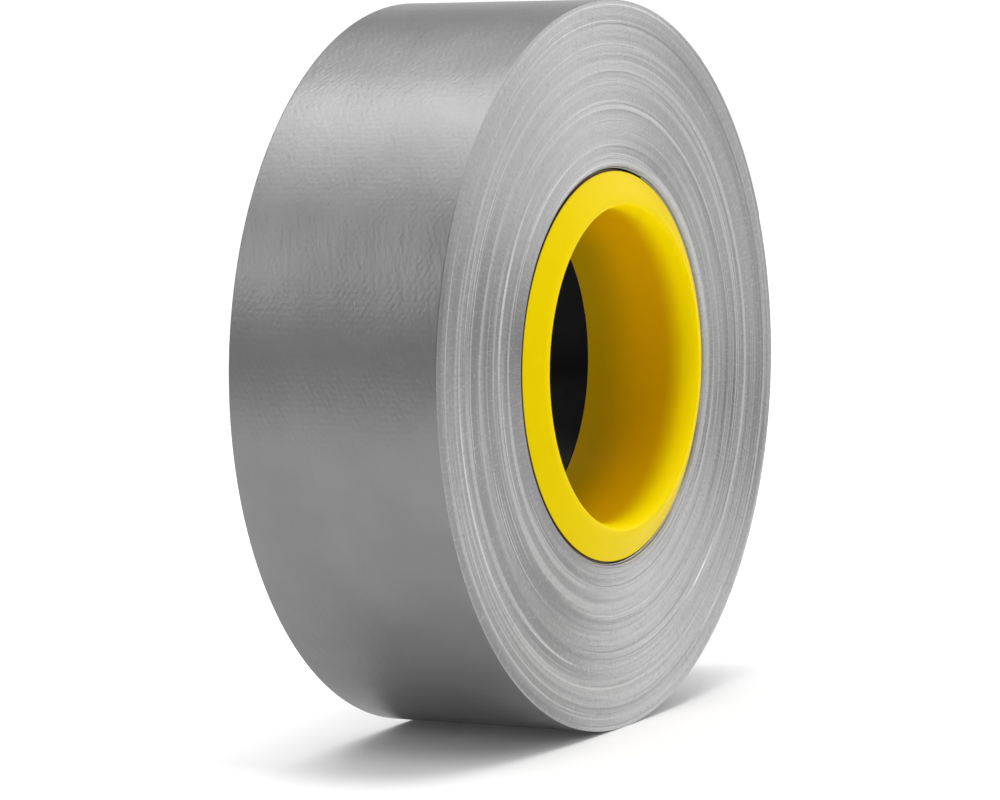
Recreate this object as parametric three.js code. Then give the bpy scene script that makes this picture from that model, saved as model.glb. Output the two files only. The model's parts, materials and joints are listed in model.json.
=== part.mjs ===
// A roll of silver cloth-backed tape, 50 mm wide and 50 m long, on a 3-inch paperboard tube.
// The tube is lined by two moulded plastic halves, one yellow and one black, each with a sloping
// rim that stands proud of the roll's side. They meet half-way along the bore.
//
// Millimetres. The roll's axis is Y and the origin is the roll's centre. The roll stands on its
// tread, so +Z is up, and the yellow rim faces -Y.

import * as THREE from 'three';

// ---- driving dimensions ----

const TAPE_WIDTH = 50;
const TAPE_THICKNESS = 0.29;
const TAPE_TURNS = 128;

const TUBE_INNER_RADIUS = 38.1;
const TUBE_WALL = 5.3;
const TUBE_LENGTH = 48.2;

const BORE_RADIUS = 34.7;
const RIM_EDGE = 0.5;
const RIM_SLOPE = 26;
const RIM_CREST_RADIUS = 36.2;
const RIM_CREST_FLAT = 0.8;
const RIM_CREST_ROUND = 4;
const RIM_ROLL_IN = 4;

const CLEARANCE = 0.3;

const FACETS = 96;
const ROUND_STEPS = 7;
const CREST_STEPS = 4;

// The free end of the tape is the last stretch of the outer turn, on the upper right of the roll
// as seen from the yellow side. It is split into equal strips with a hinge line before each one,
// and the first hinge line lies on this corner of the faceted tread.
const END_STRIPS = 6;
const FACETS_PER_STRIP = 2;
const PEEL_CORNER = 42;

// ---- sizes that follow ----

const HALF_WIDTH = TAPE_WIDTH / 2;
const FACET_ANGLE = (2 * Math.PI) / FACETS;
const TUBE_OUTER_RADIUS = TUBE_INNER_RADIUS + TUBE_WALL;
const TAPE_INNER_RADIUS = TUBE_OUTER_RADIUS + CLEARANCE;
const TAPE_OUTER_RADIUS = TUBE_OUTER_RADIUS + TAPE_TURNS * TAPE_THICKNESS;
const SLEEVE_RADIUS = TUBE_INNER_RADIUS - CLEARANCE;
const RIM_SEAT = TUBE_LENGTH / 2 + CLEARANCE;

// ---- materials ----

const silverCloth = new THREE.MeshStandardMaterial({ color: 0x9c9c9c, roughness: 0.42, metalness: 0.15 });
const paperboard = new THREE.MeshStandardMaterial({ color: 0x9a7a55, roughness: 0.9, metalness: 0 });
const yellowPlastic = new THREE.MeshStandardMaterial({ color: 0xf4d800, roughness: 0.28, metalness: 0 });
const blackPlastic = new THREE.MeshStandardMaterial({ color: 0x101012, roughness: 0.3, metalness: 0 });

const roll = new THREE.Group();

function addPart(name, geometry, material) {
  const part = new THREE.Mesh(geometry, material);
  part.name = name;
  roll.add(part);
  return part;
}

// ---- turned pieces ----

// A profile is a closed list of [radius, place along the axis]. The lathe turns about its own Y.
function turned(profile) {
  const points = profile.map(([radius, along]) => new THREE.Vector2(radius, along));
  points.push(points[0].clone());
  return new THREE.LatheGeometry(points, FACETS);
}

// Part of an ellipse from its end at angle "from" to its end at angle "to".
function round(centre, radii, from, to, steps) {
  const points = [];
  for (let i = 0; i <= steps; i += 1) {
    const angle = THREE.MathUtils.lerp(from, to, i / steps);
    points.push([centre[0] + radii[0] * Math.cos(angle), centre[1] + radii[1] * Math.sin(angle)]);
  }
  return points;
}

function coreTube() {
  const end = TUBE_LENGTH / 2;
  return turned([
    [TUBE_INNER_RADIUS, -end],
    [TUBE_OUTER_RADIUS, -end],
    [TUBE_OUTER_RADIUS, end],
    [TUBE_INNER_RADIUS, end],
  ]);
}

// One moulded half: a sleeve from the middle of the bore to the tube's end, and a rim that covers
// that end. The rim is as wide as the tube, so its edge sits just inside the tape. From there it
// slopes up to a rounded crest, and then rolls over into the bore.
function coreHalf() {
  const slope = THREE.MathUtils.degToRad(RIM_SLOPE);
  const edge = RIM_SEAT + RIM_EDGE;
  const crestOuter = RIM_CREST_RADIUS + RIM_CREST_FLAT / 2;
  const crestInner = RIM_CREST_RADIUS - RIM_CREST_FLAT / 2;
  const slopeTopRadius = crestOuter + RIM_CREST_ROUND * Math.sin(slope);
  const slopeTop = edge + (TUBE_OUTER_RADIUS - slopeTopRadius) * Math.tan(slope);
  const roundCentre = slopeTop - RIM_CREST_ROUND * Math.cos(slope);
  const crest = roundCentre + RIM_CREST_ROUND;
  const shoulder = round(
    [crestOuter, roundCentre],
    [RIM_CREST_ROUND, RIM_CREST_ROUND],
    Math.PI / 2 - slope,
    Math.PI / 2,
    CREST_STEPS,
  );
  const rollIn = round(
    [crestInner, crest - RIM_ROLL_IN],
    [crestInner - BORE_RADIUS, RIM_ROLL_IN],
    Math.PI / 2,
    Math.PI,
    ROUND_STEPS,
  );
  return turned([
    [BORE_RADIUS, CLEARANCE / 2],
    [SLEEVE_RADIUS, CLEARANCE / 2],
    [SLEEVE_RADIUS, RIM_SEAT],
    [TUBE_OUTER_RADIUS, RIM_SEAT],
    [TUBE_OUTER_RADIUS, edge],
    ...shoulder,
    ...rollIn,
  ]);
}

// ---- the wound tape ----

// Facet corners are counted from straight down, half a facet early, so that one facet lies flat
// under the roll. Corners count anticlockwise as seen from the yellow side.
function cornerPoint(corner, radius) {
  const angle = (corner - 0.5) * FACET_ANGLE - Math.PI / 2;
  return new THREE.Vector2(radius * Math.cos(angle), radius * Math.sin(angle));
}

// The outside of the spiral. Going anticlockwise it sinks by one thickness of tape in a full turn,
// and going clockwise past the peel line it is the outside of the free end.
function spiralRadius(corner) {
  return TAPE_OUTER_RADIUS - (TAPE_THICKNESS * (corner - PEEL_CORNER)) / FACETS;
}

// Extrudes an outline drawn in X and Z along Y, over the tape's width.
function acrossWidth(shape) {
  const geometry = new THREE.ExtrudeGeometry(shape, { depth: TAPE_WIDTH, bevelEnabled: false });
  geometry.rotateX(Math.PI / 2);
  geometry.translate(0, HALF_WIDTH, 0);
  return geometry;
}

function woundTape() {
  const outline = [];
  for (let i = 0; i <= FACETS; i += 1) {
    const corner = PEEL_CORNER + i;
    outline.push(cornerPoint(corner, spiralRadius(corner)));
  }
  const hole = [];
  for (let i = 0; i < FACETS; i += 1) {
    hole.push(cornerPoint(-i, TAPE_INNER_RADIUS));
  }
  const shape = new THREE.Shape(outline);
  shape.holes.push(new THREE.Path(hole));
  return acrossWidth(shape);
}

// One strip of the free end. It follows the facets below it, a clearance above them, and starts a
// clearance after its hinge line.
function endStrip(number) {
  const start = PEEL_CORNER - FACETS_PER_STRIP * number;
  const corners = [start - CLEARANCE / (TAPE_OUTER_RADIUS * FACET_ANGLE)];
  for (let i = 1; i <= FACETS_PER_STRIP; i += 1) {
    corners.push(start - i);
  }
  const over = corners.map((corner) => cornerPoint(corner, spiralRadius(corner) + CLEARANCE));
  const under = corners.map((corner) => (
    cornerPoint(corner, spiralRadius(corner) + CLEARANCE - TAPE_THICKNESS)
  ));
  return acrossWidth(new THREE.Shape([...over, ...under.reverse()]));
}

// ---- assembly ----

addPart('core_tube', coreTube(), paperboard);
addPart('yellow_core_half', coreHalf(), yellowPlastic).rotation.x = Math.PI;
addPart('black_core_half', coreHalf(), blackPlastic);
addPart('wound_tape', woundTape(), silverCloth);
for (let number = 0; number < END_STRIPS; number += 1) {
  addPart(`tape_end_${number + 1}`, endStrip(number), silverCloth);
}

export default roll;
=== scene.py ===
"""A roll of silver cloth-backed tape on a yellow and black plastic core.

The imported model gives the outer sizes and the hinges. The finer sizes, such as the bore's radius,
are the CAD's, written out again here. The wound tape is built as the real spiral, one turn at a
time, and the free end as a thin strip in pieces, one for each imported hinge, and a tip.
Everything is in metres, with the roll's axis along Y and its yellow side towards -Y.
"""

import json
import math

import bpy
import numpy as np
from mathutils import Matrix, Vector


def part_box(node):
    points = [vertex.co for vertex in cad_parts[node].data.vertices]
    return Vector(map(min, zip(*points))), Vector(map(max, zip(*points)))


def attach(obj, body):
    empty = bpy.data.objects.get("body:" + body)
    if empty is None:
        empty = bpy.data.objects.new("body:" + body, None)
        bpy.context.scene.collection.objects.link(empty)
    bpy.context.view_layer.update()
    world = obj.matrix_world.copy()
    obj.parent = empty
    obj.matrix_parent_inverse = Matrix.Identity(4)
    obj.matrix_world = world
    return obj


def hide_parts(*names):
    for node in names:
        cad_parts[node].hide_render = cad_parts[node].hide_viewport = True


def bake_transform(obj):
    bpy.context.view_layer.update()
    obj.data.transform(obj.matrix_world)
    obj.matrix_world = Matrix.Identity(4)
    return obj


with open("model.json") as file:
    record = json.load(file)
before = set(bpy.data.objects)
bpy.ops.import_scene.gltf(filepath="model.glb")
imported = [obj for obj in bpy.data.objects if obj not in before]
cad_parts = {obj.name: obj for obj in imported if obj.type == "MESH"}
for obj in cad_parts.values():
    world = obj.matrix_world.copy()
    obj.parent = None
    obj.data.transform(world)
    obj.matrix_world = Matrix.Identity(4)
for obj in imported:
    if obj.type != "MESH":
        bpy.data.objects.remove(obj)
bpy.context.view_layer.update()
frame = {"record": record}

MM = 0.001
TURN = 2 * math.pi

# ---- sizes from the frame ----

TAPE_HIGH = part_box("wound_tape")[1]
TUBE_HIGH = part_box("core_tube")[1]
RIM_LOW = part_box("yellow_core_half")[0]
HINGES = [Vector(joint["pos_m"]) for joint in frame["record"]["behaviour"]["joints"]]

LAYER = 0.29 * MM
TURNS = 128
TUBE_RADIUS = TUBE_HIGH.x
TUBE_END = TUBE_HIGH.y
HALF_WIDTH = TAPE_HIGH.y
PEEL_RADIUS = TUBE_RADIUS + TURNS * LAYER
PEEL_ANGLE = math.atan2(HINGES[0].z, HINGES[0].x)
STRIP_ANGLE = PEEL_ANGLE - math.atan2(HINGES[1].z, HINGES[1].x)

# The outermost turn stops half a strip before the peel line, where the free end's pieces take over.
SEAM_BACK = STRIP_ANGLE / 2
WOUND_TURNS = TURNS - 1


def spiral_radius(back):
    """Outside of the tape at an angle counted back along it, anticlockwise from the peel line."""
    return PEEL_RADIUS - LAYER * back / TURN


FLOOR_Z = -spiral_radius(math.radians(270) - PEEL_ANGLE)


# ---- mesh helpers ----

CRISP_ANGLE = math.radians(40)


def add_object(name, vertices, faces, materials, face_material=None, corner_uv=None):
    """A mesh object, smooth but for its crisp edges. corner_uv has one row for each corner."""
    mesh = bpy.data.meshes.new(name)
    mesh.from_pydata([tuple(v) for v in vertices], [], [tuple(f) for f in faces])
    for material in materials:
        mesh.materials.append(material)
    if face_material is not None:
        mesh.polygons.foreach_set("material_index", np.asarray(face_material, np.int32))
    if corner_uv is not None:
        layer = mesh.uv_layers.new(name="tape")
        layer.data.foreach_set("uv", np.asarray(corner_uv, np.float32).ravel())
    mesh.polygons.foreach_set("use_smooth", np.ones(len(mesh.polygons), bool))
    mesh.set_sharp_from_angle(angle=CRISP_ANGLE)
    mesh.update()
    piece = bpy.data.objects.new(name, mesh)
    bpy.context.scene.collection.objects.link(piece)
    return piece


def sharpen_rings(mesh, row_of_vertex):
    """Makes every edge that runs round the axis crisp, where both its ends have a row number."""
    ends = np.empty(2 * len(mesh.edges), np.int32)
    mesh.edges.foreach_get("vertices", ends)
    first, second = row_of_vertex[ends.reshape(-1, 2)].T
    round_axis = (first >= 0) & (second >= 0) & (first != second)
    sharp = np.empty(len(mesh.edges), bool)
    attribute = mesh.attributes.get("sharp_edge") or mesh.attributes.new(
        "sharp_edge", "BOOLEAN", "EDGE"
    )
    attribute.data.foreach_get("value", sharp)
    attribute.data.foreach_set("value", sharp | round_axis)
    mesh.update()


def on_circle(radius, angle, along):
    """Points at radius and angle about the roll's axis, and at a place along it."""
    parts = np.broadcast_arrays(radius * np.cos(angle), along, radius * np.sin(angle))
    return np.stack(parts, -1)


def smooth_step(low, high, value):
    t = np.clip((value - low) / (high - low), 0, 1)
    return t * t * (3 - 2 * t)


def corners(grid):
    """The four corners of each cell of a grid, in order round the cell."""
    return np.stack([grid[:-1, :-1], grid[1:, :-1], grid[1:, 1:], grid[:-1, 1:]], 2)


# ---- node helpers ----


def new_node(tree, kind, **settings):
    made = tree.nodes.new(kind)
    for key, value in settings.items():
        setattr(made, key, value)
    return made


class Nodes:
    """Short names for building a material's nodes. A value may be a number or another node's socket."""

    def __init__(self, name):
        self.material = bpy.data.materials.new(name)
        self.material.use_nodes = True
        self.tree = self.material.node_tree
        self.shader = self.tree.nodes["Principled BSDF"]

    def node(self, kind, **settings):
        return new_node(self.tree, kind, **settings)

    def plug(self, socket, value):
        if isinstance(value, bpy.types.NodeSocket):
            self.tree.links.new(value, socket)
        elif value is not None:
            socket.default_value = value

    def math(self, operation, first, second=None, third=None):
        made = self.node("ShaderNodeMath", operation=operation)
        for socket, value in zip(made.inputs, (first, second, third)):
            self.plug(socket, value)
        return made.outputs[0]

    def add(self, first, second):
        return self.math("ADD", first, second)

    def times(self, first, second):
        return self.math("MULTIPLY", first, second)

    def vector(self, x, y, z):
        made = self.node("ShaderNodeCombineXYZ")
        for socket, value in zip(made.inputs, (x, y, z)):
            self.plug(socket, value)
        return made.outputs[0]

    def noise(self, place, scale, detail=2.0, roughness=0.5):
        """Smooth noise from 0 to 1, which lies mostly between 0.3 and 0.7."""
        made = self.node("ShaderNodeTexNoise")
        self.plug(made.inputs["Vector"], place)
        made.inputs["Scale"].default_value = scale
        made.inputs["Detail"].default_value = detail
        made.inputs["Roughness"].default_value = roughness
        return made.outputs["Fac"]

    def between(self, value, low, high, to_low=0.0, to_high=1.0):
        """Goes smoothly from to_low to to_high as the value goes from low to high."""
        made = self.node("ShaderNodeMapRange", interpolation_type="SMOOTHSTEP")
        inputs = (value, low, high, to_low, to_high)
        for socket, number in zip(made.inputs, inputs):
            self.plug(socket, number)
        return made.outputs["Result"]

    def mix(self, share, first, second):
        """The first colour, turning into the second as share goes from 0 to 1."""
        made = self.node("ShaderNodeMix", data_type="RGBA")
        self.plug(made.inputs["Factor"], share)
        self.plug(made.inputs["A"], first)
        self.plug(made.inputs["B"], second)
        return made.outputs["Result"]

    def place(self):
        return self.node("ShaderNodeTexCoord").outputs["Object"]

    def split(self, vector):
        made = self.node("ShaderNodeSeparateXYZ")
        self.tree.links.new(vector, made.inputs[0])
        return made.outputs["X"], made.outputs["Y"], made.outputs["Z"]

    def uv(self):
        """On film and adhesive the place in mm along and across the tape, on edges turn and depth."""
        return self.split(self.node("ShaderNodeUVMap", uv_map="tape").outputs["UV"])[:2]

    def from_axis(self, x, z):
        """Distance from the roll's axis."""
        return self.math("SQRT", self.add(self.times(x, x), self.times(z, z)))

    def bump(self, height, distance, strength=1.0):
        made = self.node("ShaderNodeBump")
        self.plug(made.inputs["Height"], height)
        made.inputs["Distance"].default_value = distance
        made.inputs["Strength"].default_value = strength
        self.tree.links.new(made.outputs["Normal"], self.shader.inputs["Normal"])

    def set(self, **values):
        """Sets the shader's sockets, named with underscores for spaces."""
        for name, value in values.items():
            self.plug(self.shader.inputs[name.replace("_", " ")], value)


def grey(value, alpha=1.0):
    return (value, value, value, alpha)


# ---- materials ----

# Thread spacing of the cloth in mm: of the threads that run along the tape, and of those across it.
WARP_PITCH = 0.735
WEFT_PITCH = 1.28


def weave(nodes, along, across):
    """Height of the cloth and creases that show through the film, from places in millimetres."""
    wander = nodes.noise(nodes.vector(along, across, 0.0), 0.11, 1.0)
    thread_along = nodes.add(along, nodes.times(wander, 1.1))
    thread_across = nodes.add(across, nodes.times(wander, 0.9))
    warp = nodes.math("COSINE", nodes.times(thread_across, math.pi / WARP_PITCH))
    weft = nodes.math("COSINE", nodes.times(thread_along, math.pi / WEFT_PITCH))
    rib = nodes.math("COSINE", nodes.times(thread_along, TURN / WEFT_PITCH))

    # The weave shows clearly in patches, and faintly between them.
    cloudy = nodes.noise(nodes.vector(along, across, 7.0), 0.22, 3.0)
    patch = nodes.between(cloudy, 0.38, 0.66, 0.12, 1.0)
    crossing = nodes.times(nodes.times(warp, weft), patch)

    # Creases are long, and lean a little away from the length of the tape.
    lean = nodes.add(across, nodes.times(along, 0.22))
    crease = nodes.noise(nodes.vector(nodes.times(along, 0.16), nodes.times(lean, 0.8), 21.0), 1.0, 2.0)
    crumple = nodes.noise(nodes.vector(along, across, 33.0), 0.9, 3.0, 0.6)
    creases = nodes.add(nodes.times(crease, 2.6), nodes.times(crumple, 2.8))
    return nodes.add(nodes.add(nodes.times(crossing, 0.5), nodes.times(rib, 0.10)), creases)


def silver_film():
    """The outside of the tape: satin, with the cloth and fine creases showing through."""
    dark, light = (0.181, 0.181, 0.184, 1), (0.202, 0.202, 0.204, 1)
    nodes = Nodes("silver_film")
    along, across = nodes.uv()
    place = nodes.vector(along, across, 0.0)
    cloudy = nodes.noise(place, 0.05, 3.0)
    grain = nodes.noise(place, 3.2, 2.0, 0.6)
    tone = nodes.mix(nodes.between(cloudy, 0.35, 0.65), dark, light)
    height = nodes.add(weave(nodes, along, across), nodes.times(grain, 0.9))
    nodes.set(
        Base_Color=tone,
        Metallic=0.5,
        Roughness=nodes.between(grain, 0.2, 0.8, 0.30, 0.36),
    )
    nodes.bump(height, 0.022 * MM)
    return nodes.material


# The way round the side face, from +X towards +Z, along which its colour is painted palest: a painted
# highlight where the edges of the turns catch the light.
PAINTED_SHEEN_WAY = math.radians(113)


def tape_edges():
    """The cut edges of the turns: film, cloth and adhesive, with thread ends here and there, and a
    painted highlight in two opposite sectors.
    """
    film_grey, thread_grey = (0.2, 0.2, 0.204, 1), (0.5, 0.5, 0.5, 1)
    cloth_grey, dull_grey = (0.315, 0.315, 0.32, 1), (0.25, 0.25, 0.255, 1)
    painted_sheen_grey, pale_grey, line_grey = (0.405, 0.402, 0.41, 1), (0.47, 0.47, 0.472, 1), grey(0.60)
    nodes = Nodes("tape_edges")
    turn, depth = nodes.uv()
    turns_in = nodes.add(turn, depth)
    x, _, z = nodes.split(nodes.place())
    radius = nodes.from_axis(x, z)
    round_x = nodes.math("DIVIDE", x, radius)
    round_z = nodes.math("DIVIDE", z, radius)

    def rings(around, per_turn, detail=1.0, offset=0.0):
        """Noise on the side face: cycles round a radian, and cycles per turn of tape."""
        place = nodes.vector(
            nodes.times(round_x, around),
            nodes.times(round_z, around),
            nodes.add(nodes.times(turns_in, per_turn), offset),
        )
        return nodes.noise(place, 1.0, detail)

    film = nodes.between(nodes.math("FRACT", depth), 0.12, 0.3, 0.5, 0.0)
    pale = nodes.times(nodes.between(rings(0.5, 0.17, 3.0), 0.51, 0.62), 0.8)
    dull = nodes.between(rings(0.5, 0.10, 2.0, 31.0), 0.47, 0.62)
    line = nodes.between(rings(0.7, 0.45, 1.0, 57.0), 0.64, 0.72)
    threads = rings(120.0, 0.22)
    grain = rings(300.0, 1.5, 1.0, 11.0)
    along_x = nodes.times(round_x, math.cos(PAINTED_SHEEN_WAY))
    along_z = nodes.times(round_z, math.sin(PAINTED_SHEEN_WAY))
    # Painted highlight: how near a point lies to the two opposite sectors along that way round the
    # face.
    painted_sheen = nodes.between(nodes.math("ABSOLUTE", nodes.add(along_x, along_z)), 0.55, 0.95)

    tone = nodes.mix(dull, cloth_grey, dull_grey)
    # Painted highlight: those sectors are mixed towards the paler grey.
    tone = nodes.mix(nodes.times(painted_sheen, 0.9), tone, painted_sheen_grey)
    tone = nodes.mix(film, tone, film_grey)
    tone = nodes.mix(pale, tone, pale_grey)
    tone = nodes.mix(nodes.times(line, 0.8), tone, line_grey)
    tone = nodes.mix(nodes.between(threads, 0.56, 0.72, 0.0, 0.3), tone, thread_grey)
    tone = nodes.mix(nodes.between(threads, 0.28, 0.44, 0.3, 0.0), tone, film_grey)
    cloth_shows = nodes.math("MAXIMUM", pale, line)
    nodes.set(
        Base_Color=tone,
        Metallic=nodes.between(cloth_shows, 0.0, 1.0, 0.5, 0.2),
        Roughness=nodes.between(cloth_shows, 0.0, 1.0, 0.33, 0.5),
    )
    nodes.bump(nodes.add(threads, nodes.times(grain, 0.4)), 0.045 * MM, 0.6)
    return nodes.material


def adhesive():
    """The sticky side: a pale, glossy rubber coat with the cloth showing through."""
    dark, light = (0.50, 0.49, 0.46, 1), (0.60, 0.59, 0.555, 1)
    nodes = Nodes("adhesive")
    along, across = nodes.uv()
    height = weave(nodes, along, across)
    blotch = nodes.noise(nodes.vector(along, across, 3.0), 0.35, 3.0)
    tone = nodes.mix(nodes.between(blotch, 0.3, 0.7), dark, light)
    nodes.set(Base_Color=tone, Roughness=0.32)
    nodes.bump(nodes.add(height, blotch), 0.03 * MM)
    return nodes.material


# Where light and shade are painted onto the yellow half, as (from, to): radii for a painted shadow in
# the seam at the rim's outer edge, painted light on the rim's inner edge, and the bore's wall, and
# places along the axis for painted shade at the wall's mouth and in its deep part.
PAINTED_SEAM_SHADOW = (42.85 * MM, 43.06 * MM)
PAINTED_RIM_LIGHT = (35.6 * MM, 36.4 * MM)
BORE_WALL = (34.8 * MM, 35.6 * MM)
BORE_MOUTH = (-26.0 * MM, -19.5 * MM)
BORE_DEEP = (-15.0 * MM, -3.0 * MM)


def yellow_plastic():
    """Satin yellow, with painted light where the rim rolls in and painted shade in its seam and bore.
    """
    rim_yellow, clear_yellow = (0.80, 0.595, 0.0, 1), (0.82, 0.62, 0.001, 1)
    # The brighter yellow is painted light for the rim's inner edge; the near-black brown is a painted
    # shadow for the seam.
    painted_light_yellow, seam_brown = (0.95, 0.74, 0.0, 1), (0.07, 0.03, 0.0, 1)
    # The orange and the dark brown are painted shade for the bore's wall.
    painted_shade_orange, painted_deep_shade = (0.66, 0.355, 0.0, 1), (0.40, 0.255, 0.0, 1)
    nodes = Nodes("yellow_plastic")
    place = nodes.place()
    cloudy = nodes.noise(place, 40.0, 2.0)
    peel = nodes.noise(place, 900.0, 2.0)
    x, y, z = nodes.split(place)
    radius = nodes.from_axis(x, z)
    in_bore = nodes.between(radius, *BORE_WALL, 1.0, 0.0)
    tone = nodes.mix(cloudy, rim_yellow, clear_yellow)
    # Painted light: the rim's inner edge, where it rolls into the bore, is painted a brighter yellow.
    tone = nodes.mix(nodes.between(radius, *PAINTED_RIM_LIGHT, 1.0, 0.0), tone, painted_light_yellow)
    # Painted shadow: a near-black brown band in the seam between the rim's outer edge and the tape.
    tone = nodes.mix(nodes.between(radius, *PAINTED_SEAM_SHADOW), tone, seam_brown)
    # Painted shade: the bore's wall is painted orange at its mouth and dark brown deeper in.
    tone = nodes.mix(nodes.times(in_bore, nodes.between(y, *BORE_MOUTH)), tone, painted_shade_orange)
    tone = nodes.mix(nodes.times(in_bore, nodes.between(y, *BORE_DEEP)), tone, painted_deep_shade)
    nodes.set(
        Base_Color=tone,
        Roughness=nodes.between(cloudy, 0.3, 0.7, 0.32, 0.38),
        Specular_IOR_Level=0.04,
        Specular_Tint=(1.0, 0.85, 0.12, 1),
    )
    nodes.bump(peel, 0.01 * MM, 0.5)
    return nodes.material


def black_plastic():
    """Satin black with faint scuffs."""
    clean, scuffed = (0.0022, 0.0020, 0.0026, 1), (0.0046, 0.0042, 0.0052, 1)
    nodes = Nodes("black_plastic")
    place = nodes.place()
    scuff = nodes.noise(place, 120.0, 4.0, 0.6)
    nodes.set(
        Base_Color=nodes.mix(scuff, clean, scuffed),
        Roughness=nodes.between(scuff, 0.35, 0.7, 0.3, 0.45),
        Specular_IOR_Level=0.06,
    )
    nodes.bump(nodes.noise(place, 900.0, 2.0), 0.01 * MM, 0.5)
    return nodes.material


PLY_WIDTH = 60 * MM


def paperboard():
    """Brown board wound from a strip, with its seam as a helix and fibres round the tube."""
    dark, light, seam_brown = (0.30, 0.19, 0.10, 1), (0.46, 0.32, 0.19, 1), (0.16, 0.09, 0.05, 1)
    nodes = Nodes("paperboard")
    x, y, z = nodes.split(nodes.place())
    angle = nodes.math("ARCTAN2", z, x)
    helix = nodes.add(nodes.times(angle, 1 / TURN), nodes.times(y, 1 / PLY_WIDTH))
    from_seam = nodes.math("ABSOLUTE", nodes.add(nodes.math("FRACT", helix), -0.5))
    seam = nodes.between(from_seam, 0.485, 0.5)
    fibre_place = nodes.vector(nodes.times(angle, 0.6), nodes.times(y, 90.0), 0.0)
    fibre = nodes.noise(fibre_place, 9.0, 6.0, 0.7)
    tone = nodes.mix(fibre, dark, light)
    tone = nodes.mix(nodes.times(seam, 0.6), tone, seam_brown)
    nodes.set(Base_Color=tone, Roughness=0.88)
    nodes.bump(nodes.add(fibre, nodes.times(seam, -1.0)), 0.08 * MM, 0.6)
    return nodes.material


def floor_white():
    """Matt white that gives off a little light, so that it meets the white background."""
    nodes = Nodes("floor_white")
    haze = nodes.noise(nodes.place(), 2.0, 2.0)
    nodes.set(Base_Color=nodes.mix(haze, grey(0.96), grey(0.97)), Roughness=0.8)
    nodes.set(Emission_Color=grey(1.0), Emission_Strength=0.035)
    return nodes.material


FILM = silver_film()
EDGES = tape_edges()
ADHESIVE = adhesive()


# ---- the wound tape ----

SEGMENTS = 256

# The edge of one turn, as places across its thickness. The first is the groove between two turns.
TURN_PROFILE = np.array([0.0, 0.38, 0.62])
COLUMNS = len(TURN_PROFILE)
GROOVE = 0.065 * MM

# The innermost turn is pulled in a little, next to the core's rim.
INNER_SINK = 0.5 * MM
COIL_STARTS = (0, 43, 86, WOUND_TURNS)

# Turns that stand proud of the yellow side, as (turn counted from the outside, height in mm).
PROUD_TURNS = (
    (4.6, 0.09),
    (16.4, 0.10),
    (33.2, 0.10),
    (40.7, 0.07),
    (53.2, 0.09),
    (59.4, 0.10),
    (62.8, 0.08),
    (76.6, 0.10),
    (81.7, 0.12),
    (90.0, 0.08),
    (109.6, 0.10),
    (118.3, 0.07),
    (123.4, 0.09),
)


def edge_shift(turn):
    """How far a stretch of tape has drifted towards -Y, where turn counts turns along the tape."""
    # Heights in mm: the drift goes on over several turns, and the wobble is within a turn.
    drift = (
        0.060 * np.sin(turn / 7.1 + 1.0)
        + 0.060 * np.sin(turn / 2.3 + 4.0)
        + 0.020 * np.sin(turn / 0.81)
    )
    wobble = 0.012 * np.sin(TURN * turn * 1.013 + 0.6) + 0.008 * np.sin(TURN * turn * 2.03 + turn)
    proud = np.zeros_like(turn)
    for middle, height in PROUD_TURNS:
        away = np.abs(turn - middle)
        proud += height * (1 - smooth_step(0.55, 1.05, away))
    return (drift + wobble + proud) * MM


SAG = 0.2 * MM


def squeeze(angle, depth):
    """Radial sag of the turns between the tube and the tread, which are both round."""
    inside = np.sin(math.pi * np.clip(depth, 0, 1))
    return SAG * inside * (np.sin(2 * angle + 0.8) + 0.5 * np.sin(3 * angle + 2.1))


def swell(angle, along):
    """Slight fullness of the outermost turn where the turns below it drift to and fro."""
    mm = along / MM
    stripes = 0.007 * np.sin(mm * 0.9 + 0.4) + 0.004 * np.sin(mm * 2.1 + 1.3)
    rolling = 0.007 * np.sin(angle * 5 + mm * 0.06) * np.sin(mm * 0.17 + 1.0)
    return (stripes + rolling) * MM


# Places across the tape's width, from edge to edge, closer together at the edges.
EDGE_ZONE = 1.6 * MM
EDGE_STEPS = np.array([0.0, 0.04, 0.12, 0.35, 0.8]) * MM
MIDDLE_STEPS = np.linspace(-HALF_WIDTH + EDGE_ZONE, HALF_WIDTH - EDGE_ZONE, 40)
ACROSS = np.concatenate([-HALF_WIDTH + EDGE_STEPS, MIDDLE_STEPS, (HALF_WIDTH - EDGE_STEPS)[::-1]])

# How far the film drops at its edges, over what width, and the width over which its swell fades in.
CORNER_DROP = 0.045 * MM
CORNER_WIDTH = 0.12 * MM
SWELL_MARGIN = 2 * MM


def tread_point(radius, angle, along, shift):
    """A point of the outermost turn's film, rounded off at both edges."""
    from_edge = HALF_WIDTH - np.abs(along)
    drop = CORNER_DROP * (1 - smooth_step(0, CORNER_WIDTH, from_edge))
    full = swell(angle, along) * smooth_step(0, SWELL_MARGIN, from_edge)
    return on_circle(radius - drop + full, angle, along - shift)


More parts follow.
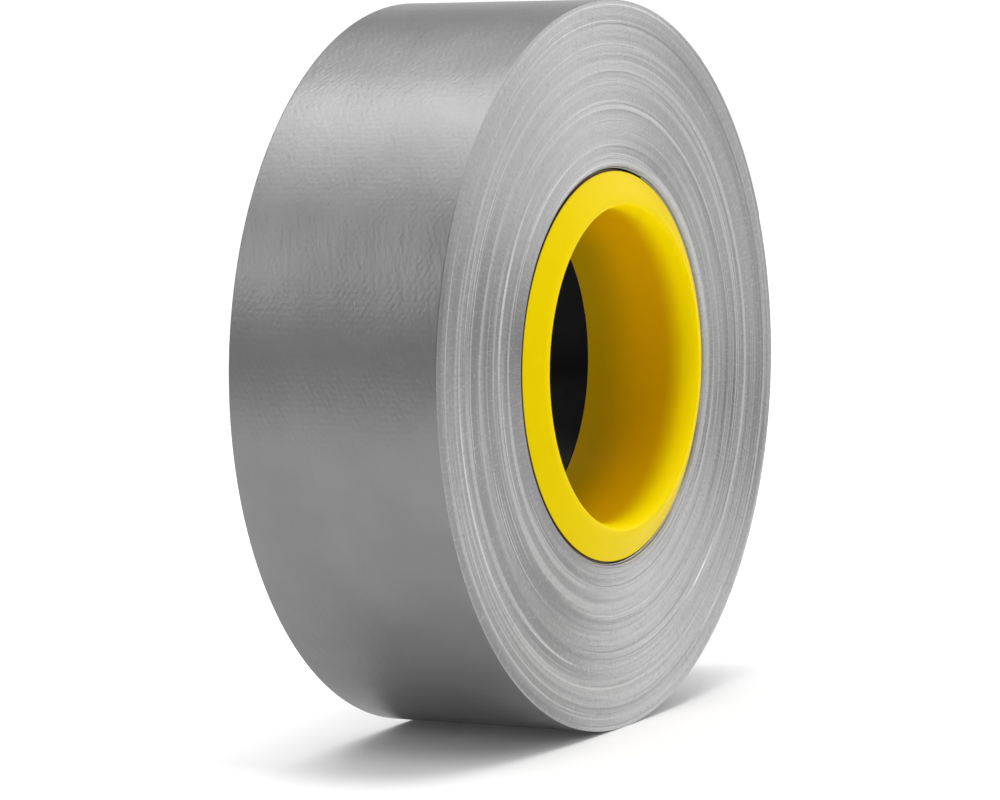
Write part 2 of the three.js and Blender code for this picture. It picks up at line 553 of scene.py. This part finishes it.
def coil(name, first, last, wall_steps):
    """Turns first to last, counted from the outside, as one closed body. Each turn shows its edge."""
    start, stop = first * COLUMNS, last * COLUMNS
    columns = np.arange(start, stop + 1)
    rows = np.arange(SEGMENTS + 1)
    width = len(columns)
    row_grid, column_grid = np.meshgrid(rows, columns, indexing="ij")

    # The last row lies on the first, one turn further in, so the two share their vertices.
    index = row_grid * width + (column_grid - start)
    index[SEGMENTS, : width - COLUMNS] = index[0, COLUMNS:]
    index[SEGMENTS, width - COLUMNS :] = SEGMENTS * width + np.arange(COLUMNS)
    count = SEGMENTS * width + COLUMNS

    across_turns = column_grid // COLUMNS + TURN_PROFILE[column_grid % COLUMNS]
    back = SEAM_BACK + TURN * (row_grid / SEGMENTS + across_turns)
    angle = PEEL_ANGLE + SEAM_BACK + TURN * row_grid / SEGMENTS
    depth = across_turns / WOUND_TURNS
    radius = spiral_radius(back) + squeeze(angle, depth)
    shift = edge_shift(column_grid // COLUMNS + row_grid / SEGMENTS)
    groove = np.where(column_grid % COLUMNS == 0, GROOVE, 0.0)
    groove = groove + INNER_SINK * smooth_step(WOUND_TURNS - 1.4, WOUND_TURNS - 0.4, across_turns)
    if first == 0:
        radius = np.where(column_grid == 0, radius - CORNER_DROP, radius)
        groove = np.where(column_grid == 0, 0.0, groove)
    points = []
    for side in (-1, 1):
        along = side * (HALF_WIDTH - groove) - shift
        grid = on_circle(radius, angle, along)
        flat = np.zeros((count, 3))
        flat[index.ravel()] = grid.reshape(-1, 3)
        points.append(flat)

    quads = corners(index).reshape(-1, 4)
    faces = [quads, quads[:, ::-1] + count]
    turn_and_depth = np.stack([row_grid / SEGMENTS, across_turns], -1)
    quad_uv = corners(turn_and_depth).reshape(-1, 4, 2)
    uvs = [quad_uv, quad_uv[:, ::-1]]
    materials = [np.zeros(2 * len(quads), int)]

    # Walls: a loop round the outside and one round the inside, each with the step at the seam.
    outer = [index[row, 0] for row in rows] + [index[0, c] for c in range(COLUMNS - 1, 0, -1)]
    inner = [index[row, -1] for row in rows]
    inner += [index[SEGMENTS, width - 1 - c] for c in range(1, COLUMNS)]
    total = 2 * count
    walls = ((outer, wall_steps, False), (inner, (), True))
    for loop, steps, turned_in in walls:
        levels = [np.array(loop)]
        front, rear = points[0][loop], points[1][loop]
        loop_angle = np.arctan2(front[:, 2], front[:, 0])
        loop_radius = np.hypot(front[:, 0], front[:, 2]) + (CORNER_DROP if len(steps) else 0)
        loop_shift = -(front[:, 1] + rear[:, 1]) / 2
        for step in steps:
            new = tread_point(loop_radius, loop_angle, step, loop_shift)
            points.append(new)
            levels.append(total + np.arange(len(loop)))
            total += len(loop)
        levels.append(np.array(loop) + count)
        length = TURN * PEEL_RADIUS / MM * np.arange(len(loop) + 1) / SEGMENTS
        sides = [-HALF_WIDTH, *steps, HALF_WIDTH]
        for low, high, low_side, high_side in zip(levels, levels[1:], sides, sides[1:]):
            wall = np.stack([low, high, np.roll(high, -1), np.roll(low, -1)], -1)
            corner_places = ((0, low_side), (0, high_side), (1, high_side), (1, low_side))
            wall_uv = np.stack(
                [
                    np.stack([length[row : row + len(loop)], np.full(len(loop), place / MM)], -1)
                    for row, place in corner_places
                ],
                1,
            )
            faces.append(wall[:, ::-1] if turned_in else wall)
            uvs.append(wall_uv[:, ::-1] if turned_in else wall_uv)
            materials.append(np.full(len(wall), 1))
    piece = add_object(
        name,
        np.concatenate(points),
        np.concatenate(faces),
        [EDGES, FILM],
        np.concatenate(materials),
        np.concatenate(uvs).reshape(-1, 2),
    )
    # Crisp edges: those that run round the side faces, between vertices of different rows.
    row_of_vertex = np.full(total, -1)
    row_of_vertex[: 2 * count] = np.tile(np.arange(count) // width, 2)
    sharpen_rings(piece.data, row_of_vertex)
    return piece


def wound_tape():
    for number, (first, last) in enumerate(zip(COIL_STARTS, COIL_STARTS[1:])):
        steps = ACROSS[1:-1] if first == 0 else ()
        piece = coil(f"tape_coil_{number + 1}", first, last, steps)
        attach(piece, "roll")
        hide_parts("wound_tape")


# ---- the free end ----

STEPS_PER_STRIP = 24

# The free end lies this far off the turn below it, so that the two surfaces don't coincide.
STICK_GAP = 0.004 * MM


def end_strip(name, ahead_from, ahead_to):
    """A stretch of the free end, between two angles counted clockwise from the peel line."""
    steps = max(2, round(STEPS_PER_STRIP * (ahead_to - ahead_from) / STRIP_ANGLE))
    ahead = np.linspace(ahead_from, ahead_to, steps + 1)[:, None]
    angle = PEEL_ANGLE - ahead
    across = ACROSS[None, :]
    shift = edge_shift(-ahead / TURN - SEAM_BACK / TURN)
    radius = spiral_radius(-ahead)
    over = tread_point(radius, angle, across, shift)
    under = on_circle(radius - LAYER + STICK_GAP, angle, across - shift)
    wide = len(ACROSS)
    top = np.arange((steps + 1) * wide).reshape(steps + 1, wide)
    bottom = top + top.size
    length = -ahead[:, 0] * PEEL_RADIUS / MM

    faces, uvs, materials = [], [], []
    edges, film, glue = 0, 1, 2
    film_edge, glue_edge, cut_edge = [0.5, 0.1], [0.5, 0.9], [0.5, 0.5]

    def add_quads(first, second, first_uv, second_uv, material):
        """A row of quads between two lines of vertices."""
        faces.append(np.stack([first[:-1], first[1:], second[1:], second[:-1]], -1))
        uvs.append(np.stack([first_uv[:-1], first_uv[1:], second_uv[1:], second_uv[:-1]], 1))
        materials.append(np.full(len(first) - 1, material))

    def add_edge(first, second, first_uv, second_uv):
        """A row of quads on a cut edge, with one UV place for each of its two lines."""
        first_uv, second_uv = (np.tile(place, (len(first), 1)) for place in (first_uv, second_uv))
        add_quads(first, second, first_uv, second_uv, edges)

    for column in range(wide - 1):
        sides = (column, column + 1)
        here, there = (np.stack(np.broadcast_arrays(length, ACROSS[side] / MM), -1) for side in sides)
        add_quads(top[:, column], top[:, column + 1], here, there, film)
        add_quads(bottom[:, column + 1], bottom[:, column], there, here, glue)
    add_edge(bottom[:, 0], top[:, 0], glue_edge, film_edge)
    add_edge(top[:, -1], bottom[:, -1], film_edge, glue_edge)
    add_edge(top[0], bottom[0], cut_edge, cut_edge)
    add_edge(bottom[-1], top[-1], cut_edge, cut_edge)
    return add_object(
        name,
        np.concatenate([over.reshape(-1, 3), under.reshape(-1, 3)]),
        np.concatenate(faces),
        [EDGES, FILM, ADHESIVE],
        np.concatenate(materials),
        np.concatenate(uvs).reshape(-1, 2),
    )


def free_end():
    """One piece for each hinge, from the middle of the strip before it to the middle of its own."""
    bodies = ["roll"] + [f"end_{number + 1}" for number in range(len(HINGES))]
    middles = [(number - 0.5) * STRIP_ANGLE for number in range(len(HINGES) + 1)]
    for number, hinge in enumerate(HINGES):
        piece = end_strip(f"tape_end_bend_{number + 1}", middles[number], middles[number + 1])
        start, end = (
            on_circle(hinge.length, PEEL_ANGLE - middles[number + side], 0.0) for side in (0, 1)
        )
        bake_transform(piece)
        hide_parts(f"tape_end_{number + 1}")
    tip = end_strip("tape_end_tip", middles[-1], len(HINGES) * STRIP_ANGLE)
    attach(tip, bodies[-1])


# ---- the core ----

CORE_SEGMENTS = 256
BORE_RADIUS = 34.7 * MM
SLEEVE_RADIUS = 37.8 * MM
SLEEVE_CHAMFER = 0.15 * MM
HALVES_GAP = 0.03 * MM

# The rim sits on the tube's end, slopes up to its crest, and rolls in to the bore.
RIM_RADIUS = TUBE_RADIUS - 0.24 * MM
RIM_CORNER = 0.35 * MM
RIM_SEAT = TUBE_END + 0.05 * MM
RIM_SLOPE = math.radians(26)
CREST_RADIUS = 36.2 * MM
CREST_ROUND = 4.4 * MM
ROLL_IN = 4.2 * MM
ROLL_POWER = 1.7

TUBE_BORE_RADIUS = 38.1 * MM
TUBE_OUTSIDE = TUBE_RADIUS - 0.05 * MM
TUBE_BEVEL = 0.3 * MM


def rounded(centre, radii, start, stop, steps, power=2.0):
    """Part of an ellipse, as (radius, along) pairs. A power below 2 makes it more of a bevel."""
    points = []
    for angle in np.linspace(start, stop, steps + 1):
        across, along = math.cos(angle), math.sin(angle)
        points.append(
            (
                centre[0] + radii[0] * math.copysign(abs(across) ** (2 / power), across),
                centre[1] + radii[1] * math.copysign(abs(along) ** (2 / power), along),
            )
        )
    return points


def straight(start, end, steps):
    """Points after start up to end."""
    return [
        (
            start[0] + (end[0] - start[0]) * step / steps,
            start[1] + (end[1] - start[1]) * step / steps,
        )
        for step in range(1, steps + 1)
    ]


def turned(name, profile, material, side):
    """A closed profile of (radius, distance from the middle) pairs, turned about the roll's axis."""
    profile = np.array(profile)
    count = len(profile)
    angles = TURN * np.arange(CORE_SEGMENTS) / CORE_SEGMENTS
    points = on_circle(profile[None, :, 0], angles[:, None], side * profile[None, :, 1])
    index = np.arange(CORE_SEGMENTS * count).reshape(CORE_SEGMENTS, count)
    after = np.roll(index, -1, axis=0)
    faces = np.stack(
        [index, np.roll(index, -1, axis=1), np.roll(after, -1, axis=1), after], -1
    ).reshape(-1, 4)
    if side > 0:
        faces = faces[:, ::-1]
    return add_object(name, points.reshape(-1, 3), faces, [material])


def core_half(name, node, material, side):
    """One moulded half: a sleeve, a sloping rim with a rounded crest, and a roll into the bore."""
    crest = abs(RIM_LOW.y)
    round_centre = crest - CREST_ROUND
    slope_top = CREST_RADIUS + CREST_ROUND * math.sin(RIM_SLOPE)
    edge = round_centre + CREST_ROUND * math.cos(RIM_SLOPE)
    edge -= (RIM_RADIUS - slope_top) * math.tan(RIM_SLOPE)
    middle = HALVES_GAP / 2
    square_to_slope = math.pi / 2 - RIM_SLOPE

    profile = [(BORE_RADIUS + SLEEVE_CHAMFER, middle), (SLEEVE_RADIUS - SLEEVE_CHAMFER, middle)]
    profile += [(SLEEVE_RADIUS, middle + SLEEVE_CHAMFER)]
    profile += straight(profile[-1], (SLEEVE_RADIUS, RIM_SEAT), 6)
    profile += straight(profile[-1], (RIM_RADIUS - RIM_CORNER, RIM_SEAT), 3)
    profile += [(RIM_RADIUS, RIM_SEAT + RIM_CORNER)]
    corner = (RIM_RADIUS - RIM_CORNER, edge - RIM_CORNER)
    profile += rounded(corner, (RIM_CORNER, RIM_CORNER), 0, square_to_slope, 5)
    crest_radii = (CREST_ROUND, CREST_ROUND)
    shoulder = rounded((CREST_RADIUS, round_centre), crest_radii, square_to_slope, math.pi / 2, 16)
    profile += straight(profile[-1], shoulder[0], 8)
    profile += shoulder[1:]
    roll_in = (CREST_RADIUS - BORE_RADIUS, ROLL_IN)
    lip = rounded((CREST_RADIUS, crest - ROLL_IN), roll_in, math.pi / 2, math.pi, 32, ROLL_POWER)
    profile += lip[1:]
    profile += straight(profile[-1], (BORE_RADIUS, middle + SLEEVE_CHAMFER), 12)
    piece = turned(name, profile, material, side)
    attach(piece, "roll")
    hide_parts(node)


def core_tube():
    """The paperboard tube, with bevelled ends."""
    low, high, end, bevel = TUBE_BORE_RADIUS, TUBE_OUTSIDE, TUBE_END, TUBE_BEVEL
    profile = [(low, -end + bevel), (low + bevel, -end)]
    profile += straight(profile[-1], (high - bevel, -end), 3)
    profile += [(high, -end + bevel)]
    profile += straight(profile[-1], (high, end - bevel), 12)
    profile += [(high - bevel, end)]
    profile += straight(profile[-1], (low + bevel, end), 3)
    profile += [(low, end - bevel)]
    profile += straight(profile[-1], profile[0], 12)[:-1]
    piece = turned("paper_tube", profile, paperboard(), 1)
    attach(piece, "roll")
    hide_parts("core_tube")


# ---- the studio ----

# The camera's azimuth runs from -Y towards +X.
CAMERA_AZIMUTH = math.radians(-61.27)
CAMERA_ELEVATION = math.radians(5.9)
CAMERA_ROLL = math.radians(-1.65)
CAMERA_DISTANCE = 1.0085
CAMERA_OFFSET = (-0.0035, -0.0080)
CAMERA_LENS = 163.0


def towards(azimuth, elevation):
    """The direction at an azimuth from +X towards +Y and an elevation, both in radians."""
    level = math.cos(elevation)
    return level * math.cos(azimuth), level * math.sin(azimuth), math.sin(elevation)


def camera():
    """A long lens at the photograph's viewing angle, with its axis a little off the roll's centre."""
    data = bpy.data.cameras.new("camera")
    data.lens = CAMERA_LENS
    data.sensor_width = 36.0
    data.clip_end = 100.0
    back = Vector(towards(CAMERA_AZIMUTH - math.pi / 2, CAMERA_ELEVATION))
    level = Vector((math.cos(CAMERA_AZIMUTH), math.sin(CAMERA_AZIMUTH), 0.0))
    turn = Matrix.Rotation(CAMERA_ROLL, 3, back)
    right = turn @ level
    up = back.cross(right)
    made = bpy.data.objects.new("camera", data)
    bpy.context.scene.collection.objects.link(made)
    axes = Matrix((right, up, back)).transposed().to_4x4()
    place = back * CAMERA_DISTANCE + right * CAMERA_OFFSET[0] + up * CAMERA_OFFSET[1]
    made.matrix_world = Matrix.Translation(place) @ axes
    bpy.context.scene.camera = made


def softbox(place, size, power):
    """A round light that faces the roll."""
    data = bpy.data.lights.new("softbox", "AREA")
    data.shape = "DISK"
    data.size = size
    data.energy = power
    made = bpy.data.objects.new("softbox", data)
    bpy.context.scene.collection.objects.link(made)
    made.location = place
    made.rotation_mode = "QUATERNION"
    made.rotation_quaternion = Vector(place).to_track_quat("Z", "Y")


# Large soft lights far off: azimuth, elevation and half-width in degrees, and strength. The azimuth
# runs from +X towards +Y.
FAR_LIGHTS = (
    (0, 90, 30, 0.06),
    (30, 6, 26, 0.93),
    (30, 62, 30, 2.04),
    (112, 56, 17, 2.38),
    (128, 46, 17, 1.26),
    (147, 18, 17, 0.64),
    (190, 60, 16, 3.31),
    (215, 20, 16, 3.08),
    (270, 32, 30, 0.77),
    (270, 76, 14, 10.01),
    (306, 32, 30, 1.33),
    (330, 6, 26, 1.47),
    (342, 32, 30, 1.68),
)

# Softboxes close by: place, diameter and power in watts.
SOFTBOXES = (
    ((-0.04, 0.40, 0.66), 0.25, 0.55),
    ((0.00, 0.00, 0.90), 0.50, 1.29),
    ((-0.45, 0.35, 0.30), 0.25, 0.37),
    ((-0.25, 0.15, 0.75), 0.35, 0.63),
    ((0.00, 0.30, 0.80), 0.30, 0.52),
)


def surroundings():
    """A dark room with the far lights in it. The camera itself sees plain white past the floor."""
    world = bpy.data.worlds.new("studio")
    bpy.context.scene.world = world
    world.use_nodes = True
    tree = world.node_tree
    direction = new_node(tree, "ShaderNodeVectorMath", operation="NORMALIZE")
    tree.links.new(new_node(tree, "ShaderNodeTexCoord").outputs["Generated"], direction.inputs[0])
    total = None
    for azimuth, elevation, half_width, strength in FAR_LIGHTS:
        facing = new_node(tree, "ShaderNodeVectorMath", operation="DOT_PRODUCT")
        tree.links.new(direction.outputs[0], facing.inputs[0])
        facing.inputs[1].default_value = towards(math.radians(azimuth), math.radians(elevation))
        glow = new_node(tree, "ShaderNodeMapRange", interpolation_type="SMOOTHSTEP")
        tree.links.new(facing.outputs["Value"], glow.inputs["Value"])
        glow.inputs["From Min"].default_value = math.cos(math.radians(half_width))
        glow.inputs["To Max"].default_value = strength
        if total is None:
            total = glow.outputs["Result"]
        else:
            added = new_node(tree, "ShaderNodeMath", operation="ADD")
            tree.links.new(total, added.inputs[0])
            tree.links.new(glow.outputs["Result"], added.inputs[1])
            total = added.outputs[0]
    room = tree.nodes["Background"]
    room.inputs["Color"].default_value = grey(1.0)
    tree.links.new(total, room.inputs["Strength"])
    white = new_node(tree, "ShaderNodeBackground")
    white.inputs["Color"].default_value = grey(1.0)
    choice = new_node(tree, "ShaderNodeMixShader")
    is_camera = new_node(tree, "ShaderNodeLightPath").outputs["Is Camera Ray"]
    tree.links.new(is_camera, choice.inputs["Fac"])
    tree.links.new(room.outputs[0], choice.inputs[1])
    tree.links.new(white.outputs[0], choice.inputs[2])
    tree.links.new(choice.outputs[0], tree.nodes["World Output"].inputs["Surface"])


FLOOR_REACH = 30.0


def floor():
    """A flat floor that the roll's lowest point touches."""
    reach = FLOOR_REACH
    outline = [(-reach, -reach), (reach, -reach), (reach, reach), (-reach, reach)]
    vertices = [(x, y, FLOOR_Z) for x, y in outline]
    add_object("floor", vertices, [(0, 1, 2, 3)], [floor_white()])


camera()
wound_tape()
free_end()
core_half("yellow_core", "yellow_core_half", yellow_plastic(), -1)
core_half("black_core", "black_core_half", black_plastic(), 1)
core_tube()
floor()
surroundings()
for place, size, power in SOFTBOXES:
    softbox(place, size, power)

bpy.context.scene.view_settings.view_transform = "Standard"
